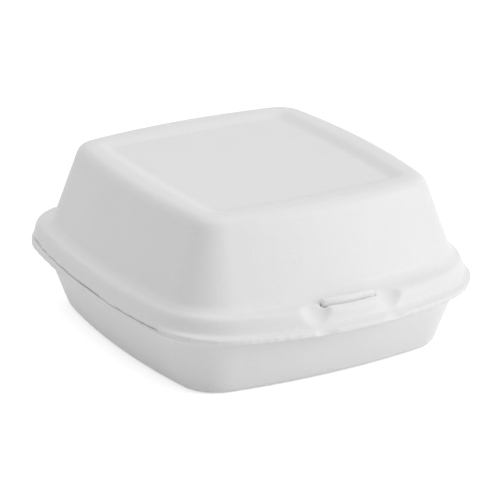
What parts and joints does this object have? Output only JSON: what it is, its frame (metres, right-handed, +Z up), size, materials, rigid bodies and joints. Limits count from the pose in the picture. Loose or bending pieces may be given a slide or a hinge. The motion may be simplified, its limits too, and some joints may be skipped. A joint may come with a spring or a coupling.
{
  "type": "foam clamshell container",
  "caption": "Hinged square foam food container with a tapered domed lid, sunk top panel, front tongue latch and finger scoops",
  "frame": {"origin": "centre of the closed container's bounding box, on the surface it stands on", "axes": "+X to the right along the latch side seen from the front, +Y from the latch to the hinge, +Z up"},
  "size_m": [0.15, 0.166, 0.071],
  "materials": {
    "foam_tray": "white expanded foam, fine closed-cell skin with a soft sheen",
    "foam_lid": "white expanded foam, fine closed-cell skin with a soft sheen"
  },
  "bodies": {
    "tray": {"base_tray": "foam_tray"},
    "cover": {"lid": "foam_lid"}
  },
  "joints": [
    {"name": "lid_hinge", "type": "hinge", "parent": "tray", "child": "cover", "pos_m": [0, 0.083, 0.03012], "axis": [-1, 0, 0], "range_deg": [0, 158]}
  ]
}
